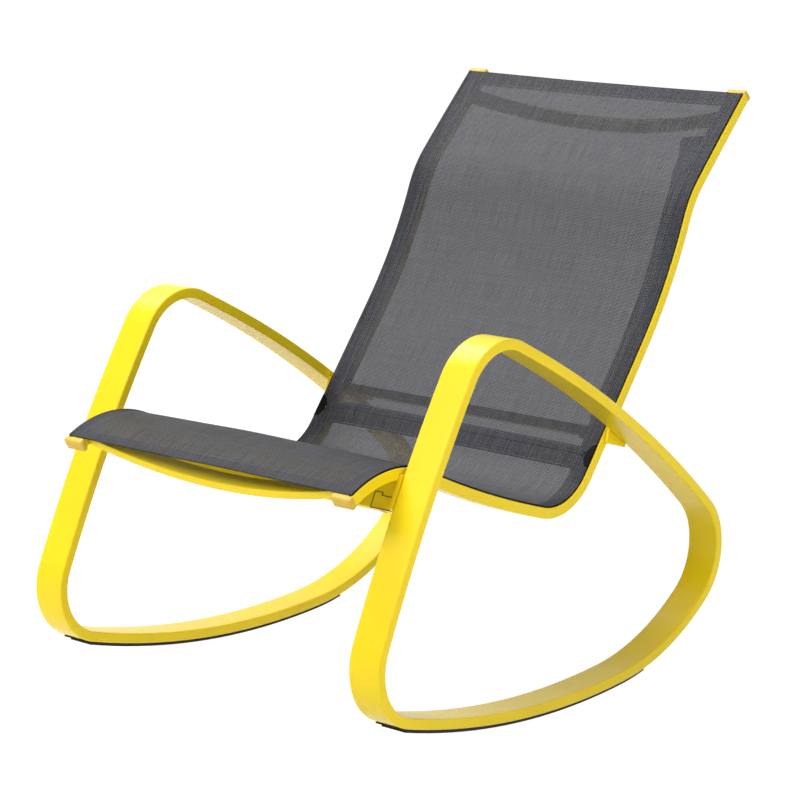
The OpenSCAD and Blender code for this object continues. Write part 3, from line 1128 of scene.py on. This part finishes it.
    def lay(
        self,
        name: str,
        across: int,
        along: int,
        place: Callable[[float, float], tuple[float, float, Vector]],
        material: bpy.types.Material,
    ) -> bpy.types.Object:
        """Lays a piece of the cloth from a flat grid, and gives it its thickness, half each way.

        Args:
            name: the piece's name.
            across: steps of the grid across the chair.
            along: steps of the grid along the rails.
            place: turns a vertex's place in the grid, from -0.5 to 0.5, into its place across
                and along the flat cloth, mm, and its point in the row frame, m.
            material: the cloth.

        Returns:
            The piece.
        """
        bm = bmesh.new()
        uv = bm.loops.layers.uv.new("cloth")
        bmesh.ops.create_grid(bm, x_segments=across, y_segments=along, size=0.5)
        flat: dict[bmesh.types.BMVert, tuple[float, float]] = {}
        for vert in bm.verts:
            u, v, point = place(vert.co.x, vert.co.y)
            flat[vert] = (u * MM, v * MM)
            vert.co = point
        for face in bm.faces:
            for loop in face.loops:
                loop[uv].uv = flat[loop.vert]
        obj = finish_piece(name, bm, material)
        solid = obj.modifiers.new("thickness", "SOLIDIFY")
        solid.thickness = self.cloth_t * MM
        solid.offset = 0.0
        return obj

    def make_lips_and_shade(self, material: bpy.types.Material) -> bpy.types.Object:
        """Builds the keder rods' outer lips, black beads along the cloth's edges that are partly
        painted shade under its rolled edge.

        Args:
            material: the rods' plastic.

        Returns:
            The lips' piece.
        """
        lip = self.lip
        gaps = dict.fromkeys(ClothEnd, lip.end_gap)
        gaps[self.plug_at] = self.plug_half + lip.plug_gap
        first = self.start + gaps[ClothEnd.START]
        last = self.end - gaps[ClothEnd.END]
        count = round((last - first) / lip.step)
        middle = self.wrap.groove_x + lip.out + lip.width / 2
        outline = rounded_box(lip.width / 2, lip.height / 2, lip.edge)
        lips = bmesh.new()
        for sign in (-1, 1):

            def place(i: int, j: int) -> Vector:
                """Places one vertex of this side's lip.

                Args:
                    i: its step round the lip.
                    j: its step along the lip.

                Returns:
                    The point, m.
                """
                a, b = outline[i]
                s = first + (last - first) * j / count
                return RAIL.point(sign * (middle + a), s, lip.height / 2 + lip.lift + b)

            half = bpy.data.meshes.new("lip")
            bm = swept(place, len(outline) - 1, count)
            bm.to_mesh(half)
            bm.free()
            lips.from_mesh(half)
            bpy.data.meshes.remove(half)
        return finish_piece(f"{self.name}_keder_lips", lips, material)

    def seams(self) -> list[tuple[float, float, bool]]:
        """Lists the stitches: two rows along each side and one across each end.

        Returns:
            Rows of distance across and length along the rail, mm, and whether the stitch lies
            along the rail.
        """
        sewn = self.stitching
        count = int((self.end - self.start - 2 * sewn.side_gap) / sewn.pitch)
        along = [self.start + sewn.side_gap + i * sewn.pitch for i in range(count)]
        rows = [(x, s, True) for x in sewn.side_rows for s in along]
        across = int(2 * sewn.end_reach / sewn.pitch)
        first = self.start + self.hems[0] - sewn.hem_gap
        last = self.end - self.hems[1] + sewn.hem_gap
        for s in (first, last):
            rows += [((i + 0.5 - across / 2) * sewn.pitch, s, False) for i in range(across)]
        return rows

    def make_stitches(self, material: bpy.types.Material) -> bpy.types.Object:
        """Sews the hems with small flattened beads of thread.

        Args:
            material: the thread.

        Returns:
            The stitches' piece.
        """
        bead = bmesh.new()
        bmesh.ops.create_uvsphere(bead, u_segments=6, v_segments=4, radius=1.0)
        count = len(bead.verts)
        mould = bpy.data.meshes.new("bead")
        bead.to_mesh(mould)
        bead.free()
        rows = self.seams()
        bm = bmesh.new()
        for _ in rows:
            bm.from_mesh(mould)
        length, width, height = self.stitching.bead
        for index, vert in enumerate(bm.verts):
            x, s, lengthways = rows[index // count]
            along, aside = vert.co.z * length, vert.co.x * width
            dx, ds = (-aside, along) if lengthways else (along, aside)
            up = self.top + self.cloth_t / 2 + self.crown.height(x, s) + vert.co.y * height
            vert.co = RAIL.point(x + dx, s + ds, up)
        bpy.data.meshes.remove(mould)
        return finish_piece(f"{self.name}_stitches", bm, material)

    def build(
        self, cloth: bpy.types.Material, thread: bpy.types.Material, plastic: bpy.types.Material
    ) -> None:
        """Args:
            cloth: the cloth's material.
            thread: the stitches' material.
            plastic: the lips' material.
        """
        sheet = self.make_cloth(cloth)
        # black lips, partly painted shade under the cloth's rolled edge
        self.make_lips_and_shade(plastic)
        hems = [self.make_hem(end, cloth) for end in ClothEnd]
        stitches = self.make_stitches(thread)
        half = self.node.split("_")[0]
        width = 2 * self.section()[-1][2] * MM
        [side.name_of(f"{half}_rail") for side in Side]


@dataclass(frozen=True)
class SplicePlug:
    """Black moulded plug over the joint of the two rail halves.

    Args:
        half_l: half of its length, mm.
        inner: distance of its bulge from the middle of the chair, mm.
        outer: distance of its straight edge, mm.
        thick: thickness over the rail, mm.
        rim: width of its rounded rim, as a share of its sizes.
    """

    half_l: float = 18.6
    inner: float = 242.6
    outer: float = 254.6
    thick: float = 2.7
    rim: float = 0.12

    def build(self, side: Side, material: bpy.types.Material) -> None:
        """Builds the plug of one side, a crescent with a rounded rim.

        Args:
            side: the side.
            material: its plastic.
        """
        bm = bmesh.new()
        bmesh.ops.create_circle(bm, cap_ends=True, segments=48, radius=1.0)
        bmesh.ops.bisect_plane(
            bm,
            geom=[*bm.verts, *bm.edges, *bm.faces],
            plane_co=(0, 0, 0),
            plane_no=(0, 1, 0),
            clear_outer=True,
        )
        made = bmesh.ops.extrude_face_region(bm, geom=list(bm.faces))
        raised = [v for v in made["geom"] if isinstance(v, bmesh.types.BMVert)]
        bmesh.ops.translate(bm, verts=raised, vec=(0, 0, 1))
        top = [e for e in bm.edges if all(v.co.z > 0.5 for v in e.verts) and len(e.link_faces) == 2]
        round_edges(bm, top, self.rim, segments=2)
        for vert in bm.verts:
            x = self.outer + vert.co.y * (self.outer - self.inner)
            s = RAIL.splice + vert.co.x * self.half_l
            vert.co = RAIL.point(side.value * x, s, vert.co.z * self.thick)
        face_outwards(bm)
        obj = finish_piece(side.name_of("splice_plug"), bm, material)
        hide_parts(side.name_of("splice_collar"))


@dataclass(frozen=True)
class EndCap:
    """Moulded cap over a rail's end: a rounded block a little larger than the rail.

    Args:
        across: inner and outer side from the middle of the chair, mm.
        height: underside and top over the rail's top face, mm.
        front: its two ends along the rail at the front, mm.
        head: its two ends past the head, mm.
        edge: radius of its edges, mm.
        dome: how far its face is crowned, mm.
    """

    across: tuple[float, float] = (224.0, 257.3)
    height: tuple[float, float] = (-16.4, 0.75)
    front: tuple[float, float] = (-3.4, 5.2)
    head: tuple[float, float] = (-0.4, 7.6)
    edge: float = 1.9
    dome: float = 0.7

    def build(self, end: RailEnd, side: Side, material: bpy.types.Material) -> None:
        """Builds one cap.

        Args:
            end: the rail's end.
            side: the side.
            material: its plastic.
        """
        ends = self.front if end is RailEnd.FRONT else tuple(RAIL.length + e for e in self.head)
        middle = [sum(r) / 2 for r in (self.across, ends, self.height)]
        size = [r[1] - r[0] for r in (self.across, ends, self.height)]
        outer_face = size[1] / 2 - 0.01  # only vertices past this lie on the crowned face
        bm = bmesh.new()
        bmesh.ops.create_cube(bm, size=1.0)
        bmesh.ops.scale(bm, vec=size, verts=bm.verts)
        round_edges(bm, bm.edges[:], self.edge, segments=3)
        bmesh.ops.subdivide_edges(bm, edges=bm.edges[:], cuts=2, use_grid_fill=True)
        for vert in bm.verts:
            a, along, b = vert.co
            if along * end.value > outer_face:
                aside, upright = 1 - (2 * a / size[0]) ** 2, 1 - (2 * b / size[2]) ** 2
                along += end.value * self.dome * aside * upright
            x = side.value * (middle[0] + a)
            vert.co = RAIL.point(x, middle[1] + along, middle[2] + b)
        face_outwards(bm)
        word = end.name.lower()
        obj = finish_piece(side.name_of(f"{word}_cap"), bm, material)
        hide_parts(side.name_of(f"{word}_end_cap"))


@dataclass(frozen=True)
class FrontBar:
    """Flat bar with crisp edges, bowed under the front hem between the rails.

    Args:
        at: place of its middle line along the rail, mm.
        width: along the rail, mm.
        thick: over the rail, mm.
        edge: radius of its long edges, mm.
        bow: how far its middle hangs below its ends, mm.
        depth: how far its ends' middle line lies under the rail's top face, mm.
        reach: where it meets the rails, mm.
        steps: steps from rail to rail.
    """

    at: float = 25.5
    width: float = 25.0
    thick: float = 12.0
    edge: float = 1.6
    bow: float = 31.0
    depth: float = 7.7
    reach: float = 227.0
    steps: int = 48

    def build(self, material: bpy.types.Material) -> None:
        """Builds the bar.

        Args:
            material: its paint.
        """
        radius = (self.reach**2 + self.bow**2) / (2 * self.bow)
        sweep = math.asin(self.reach / radius)
        outline = rounded_box(self.width / 2, self.thick / 2, self.edge)
        y, z, slope = RAIL.pose(self.at)

        def place(i: int, j: int) -> Vector:
            """Places one vertex of the bar.

            Args:
                i: its step round the bar.
                j: its step along the bar.

            Returns:
                The point, m.
            """
            a, b = outline[i]
            turn = sweep * (2 * j / self.steps - 1)
            out = radius - b
            up = radius - self.bow - self.depth - out * math.cos(turn)
            return RAIL.stand.point(
                out * math.sin(turn),
                y + a * math.cos(slope) - up * math.sin(slope),
                z + a * math.sin(slope) + up * math.cos(slope),
            )

        bar = swept(place, len(outline) - 1, self.steps)
        obj = finish_piece("front_bar", bar, material)
        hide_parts("seat_front_bar")


@dataclass(frozen=True)
class LapGapShade:
    """Painted shade in the gap of a front lap joint: a dark line, drawn wider than the real gap so
    that it shows.

    Args:
        foot: rearward and up of the cross tube's lower front edge, mm.
        lean: how far its face leans back, degrees.
        joint: the gap's corners, across the chair and up the face, mm.
        width: width of the line, mm.
        thick: thickness of the line, half of it sunk in the tube's face, mm.
    """

    foot: tuple[float, float] = (-344.045, 327.246)
    lean: float = 27.0
    joint: tuple[tuple[float, float], ...] = (
        (245.0, 34.0),
        (245.0, 18.7),
        (228.0, 18.7),
        (228.0, 22.8),
        (215.5, 22.8),
        (215.5, 0.8),
        (246.0, 0.8),
    )
    width: float = 1.0
    thick: float = 0.5

    def build(self, side: Side, material: bpy.types.Material) -> None:
        """Builds the line of one side, a thin box for each of its stretches.

        Args:
            side: the side.
            material: the black rubber, used here as painted shade.
        """
        lean = math.radians(self.lean)
        bm = bmesh.new()
        spans = []
        for (xa, va), (xb, vb) in zip(self.joint, self.joint[1:]):
            bmesh.ops.create_cube(bm, size=1.0)
            size = abs(xb - xa) + self.width, abs(vb - va) + self.width
            spans.append(((xa + xb) / 2, (va + vb) / 2, *size))
        corners = len(bm.verts) // len(spans)
        for index, vert in enumerate(bm.verts):
            x, v, wide, high = spans[index // corners]
            x, v, out = x + vert.co.x * wide, v + vert.co.y * high, vert.co.z * self.thick
            y = self.foot[0] + v * math.sin(lean) + out * math.cos(lean)
            z = self.foot[1] + v * math.cos(lean) - out * math.sin(lean)
            vert.co = RAIL.stand.point(side.value * x, y, z)
        face_outwards(bm)
        obj = finish_piece(side.name_of("lap_gap_shade"), bm, material)
        for face in obj.data.polygons:
            face.use_smooth = False


@dataclass(frozen=True)
class PaintedFrame:
    """The painted frame with its caps, the painted shade in its lap joints, rubber strips, bolts
    and screws.

    Args:
        painted_pairs: painted nodes that each side has.
        painted_across: painted nodes from side to side.
        plated: bolts and screws that each side has.
    """

    painted_pairs: tuple[str, ...] = (
        "side_loop",
        "front_stub",
        "rear_stub",
        "seat_rail",
        "back_rail",
    )
    painted_across: tuple[str, ...] = ("front_cross_tube", "rear_cross_tube", "top_back_bar")
    plated: tuple[str, ...] = (
        "lap_bolt",
        "rear_bolt",
        "seat_splice_screw",
        "back_splice_screw",
        "strip_screw_front",
        "strip_screw_middle",
        "strip_screw_rear",
    )

    def build(self) -> None:
        """Dresses the frame's nodes and builds the pieces on it."""
        paint, caps = Finish.FRAME_PAINT.build(), Finish.END_CAP.build()
        # the black rubber serves the rocker strips and also the painted shade in the lap joints'
        # gaps
        rubber = Finish.RUBBER.build()
        dress([side.name_of(n) for n in self.painted_pairs for side in Side], paint)
        dress(list(self.painted_across), paint)
        FrontBar().build(paint)
        for side in Side:
            for end in RailEnd:
                EndCap().build(end, side, caps)
            # painted shade in the gap of the lap joint, drawn in the black rubber
            LapGapShade().build(side, rubber)
        dress([side.name_of("rocker_strip") for side in Side], rubber)
        dress([side.name_of("splice_insert") for side in Side], Finish.STEEL.build())
        dress([side.name_of(n) for n in self.plated for side in Side], Finish.ZINC.build())


@dataclass(frozen=True)
class SlingSet:
    """The two slings, their keder rods and the plugs between them.

    Args:
        front: where the seat's cloth begins along the rail, mm.
        joint_gap: gap between the two cloths, mm.
        seat_hems: width of the seat's hems at its front and rear, mm.
        back_hems: width of the back's hems at its foot and head, mm.
    """

    front: float = 6.0
    joint_gap: float = 0.1
    seat_hems: tuple[float, float] = (20.0, 23.5)
    back_hems: tuple[float, float] = (13.0, 26.0)

    def build(self) -> None:
        """Builds the slings and the plugs, and dresses the rods."""
        cloth = SlingMeshCloth("grey_sling_mesh").build()
        thread, plastic = Finish.THREAD.build(), Finish.BLACK_PLASTIC.build()
        dress([side.name_of(f"{n}_keder") for n in ("seat", "back") for side in Side], plastic)
        joint = RAIL.splice - self.joint_gap / 2, RAIL.splice + self.joint_gap / 2
        slings = (
            Sling(
                name="seat_sling_cloth",
                node="seat_sling",
                start=self.front,
                end=joint[0],
                hems=self.seat_hems,
                plug_at=ClothEnd.END,
            ),
            Sling(
                name="back_sling_cloth",
                node="back_sling",
                start=joint[1],
                end=RAIL.length,
                hems=self.back_hems,
                plug_at=ClothEnd.START,
            ),
        )
        for sling in slings:
            sling.build(cloth, thread, plastic)
        for side in Side:
            SplicePlug().build(side, plastic)


@dataclass(frozen=True)
class SoftBox:
    """A square area light that points at the middle of the chair.

    Args:
        name: its name.
        place: its place, m.
        size: its width, m.
        power: its power, W.
        aim: the point that it lights, m.
    """

    name: str
    place: tuple[float, float, float]
    size: float
    power: float
    aim: tuple[float, float, float] = (0.0, 0.0, 0.4)

    def build(self) -> None:
        """Adds the light."""
        data = bpy.data.lights.new(self.name, "AREA")
        data.size = self.size
        data.energy = self.power
        obj = bpy.data.objects.new(self.name, data)
        obj.location = self.place
        way = Vector(self.aim) - Vector(self.place)
        obj.rotation_euler = way.to_track_quat("-Z", "Y").to_euler()
        bpy.context.scene.collection.objects.link(obj)


@dataclass(frozen=True)
class Studio:
    """White floor, soft lights and the photograph's viewpoint.

    Args:
        eye: the camera's place, mm.
        turn: the camera's Euler angles, degrees.
        lens: focal length on the camera's sensor, mm.
        sensor: width of the sensor, mm.
        far: how far the camera sees, m.
        floor: width of the floor, m.
        floor_colour: sRGB hex of the floor.
        floor_rough: roughness of the floor.
        floor_glow: strength of the floor's own glow to the camera and in reflections.
        glow_share: share of the glow there, where the rest is the shadowed paper.
        overhead: strength of the light from overhead.
        horizon: strength of the light from the horizon, as a share of the overhead light.
        full_from: height from which the light is as strong as overhead, from 0 at the
            horizon to 1 overhead.
        lights: the soft boxes.
    """

    eye: tuple[float, float, float] = (2387.9, -3001.38, 1110.08)
    turn: tuple[float, float, float] = (79.3246, -1.8507, 39.169)
    lens: float = 122.131
    sensor: float = 36.0
    far: float = 200.0
    floor: float = 80.0
    floor_colour: str = "#F2F2F2"
    floor_rough: float = 0.9
    floor_glow: float = 1.13
    glow_share: float = 0.86
    overhead: float = 0.5
    horizon: float = 0.3
    full_from: float = 0.7
    lights: tuple[SoftBox, ...] = (
        SoftBox("key", (-0.75, -2.75, 2.6), 1.8, 87.0),
        SoftBox("fill", (3.2, -0.6, 1.2), 1.6, 37.0),
        SoftBox("top", (-1.5, 0.2, 3.0), 1.8, 74.0),
    )

    def camera(self) -> None:
        """Sets up the camera."""
        data = bpy.data.cameras.new("viewpoint")
        data.lens = self.lens
        data.sensor_width = self.sensor
        data.clip_end = self.far
        obj = bpy.data.objects.new("viewpoint", data)
        obj.location = Vector(self.eye) * MM
        obj.rotation_euler = Euler([math.radians(a) for a in self.turn], "XYZ")
        bpy.context.scene.collection.objects.link(obj)
        bpy.context.scene.camera = obj

    def world(self) -> None:
        """Lights the chair from all round, and is plain white to the camera and in reflections."""
        world = bpy.data.worlds.new("studio")
        bpy.context.scene.world = world
        world.use_nodes = True
        tree = world.node_tree
        tree.nodes.clear()
        way = add_node(tree, "TexCoord").outputs["Generated"]
        height = add_node(tree, "SeparateXYZ", inputs={0: way}).outputs[2]
        falls = add_node(
            tree,
            "MapRange",
            inputs={
                "Value": height,
                "From Max": self.full_from,
                "To Min": self.horizon * self.overhead,
                "To Max": self.overhead,
            },
        ).outputs[0]
        level = add_node(
            tree,
            "MapRange",
            inputs={"Value": self.seen_ray(tree), "To Min": falls, "To Max": 1.0},
        ).outputs[0]
        back = add_node(tree, "Background", inputs={"Color": linear(WHITE), "Strength": level})
        add_node(tree, "OutputWorld", inputs={"Surface": back.outputs[0]})

    @staticmethod
    def seen_ray(tree: bpy.types.NodeTree) -> bpy.types.NodeSocket:
        """Tells the rays that show a surface from the rays that light one.

        Args:
            tree: the node tree.

        Returns:
            1 for rays that the camera, a mirror or clear glass sends, and 0 for others.
        """
        path = add_node(tree, "LightPath").outputs
        seen = path["Is Camera Ray"]
        for ray in ("Is Glossy Ray", "Is Transmission Ray"):
            either = add_node(tree, "Math", {"operation": "MAXIMUM"}, {0: seen, 1: path[ray]})
            seen = either.outputs[0]
        return seen

    def ground(self) -> None:
        """Lays the white floor, which keeps a faint shadow of the chair."""
        bm = bmesh.new()
        bmesh.ops.create_grid(bm, x_segments=1, y_segments=1, size=self.floor / 2)
        mesh = bpy.data.meshes.new("floor")
        bm.to_mesh(mesh)
        bm.free()
        obj = bpy.data.objects.new("floor", mesh)
        bpy.context.scene.collection.objects.link(obj)
        # Seamless background paper: white and matt, and bright enough to melt into the backdrop
        material, tree, shader = new_material("white_paper")
        shader.inputs["Base Color"].default_value = linear(self.floor_colour)
        shader.inputs["Roughness"].default_value = self.floor_rough
        glow = add_node(
            tree, "Emission", inputs={"Color": linear(WHITE), "Strength": self.floor_glow}
        )
        share = add_node(
            tree,
            "Math",
            {"operation": "MULTIPLY"},
            {0: self.seen_ray(tree), 1: self.glow_share},
        )
        mixed = add_node(
            tree,
            "MixShader",
            inputs={0: share.outputs[0], 1: shader.outputs[0], 2: glow.outputs[0]},
        )
        tree.links.new(mixed.outputs[0], tree.nodes["Material Output"].inputs["Surface"])
        mesh.materials.append(material)

    def build(self) -> None:
        """Sets up the whole studio."""
        bpy.context.scene.view_settings.view_transform = "Standard"
        self.camera()
        self.world()
        for light in self.lights:
            light.build()
        self.ground()


def main() -> None:
    """Loads the frame and builds everything round it."""
    logging.basicConfig(level=logging.INFO, format="%(name)s: %(message)s")
    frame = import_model()
    LOG.info("loaded %d nodes", len(frame["nodes"]))
    Studio().build()
    PaintedFrame().build()
    SlingSet().build()


if __name__ == "__main__":
    main()
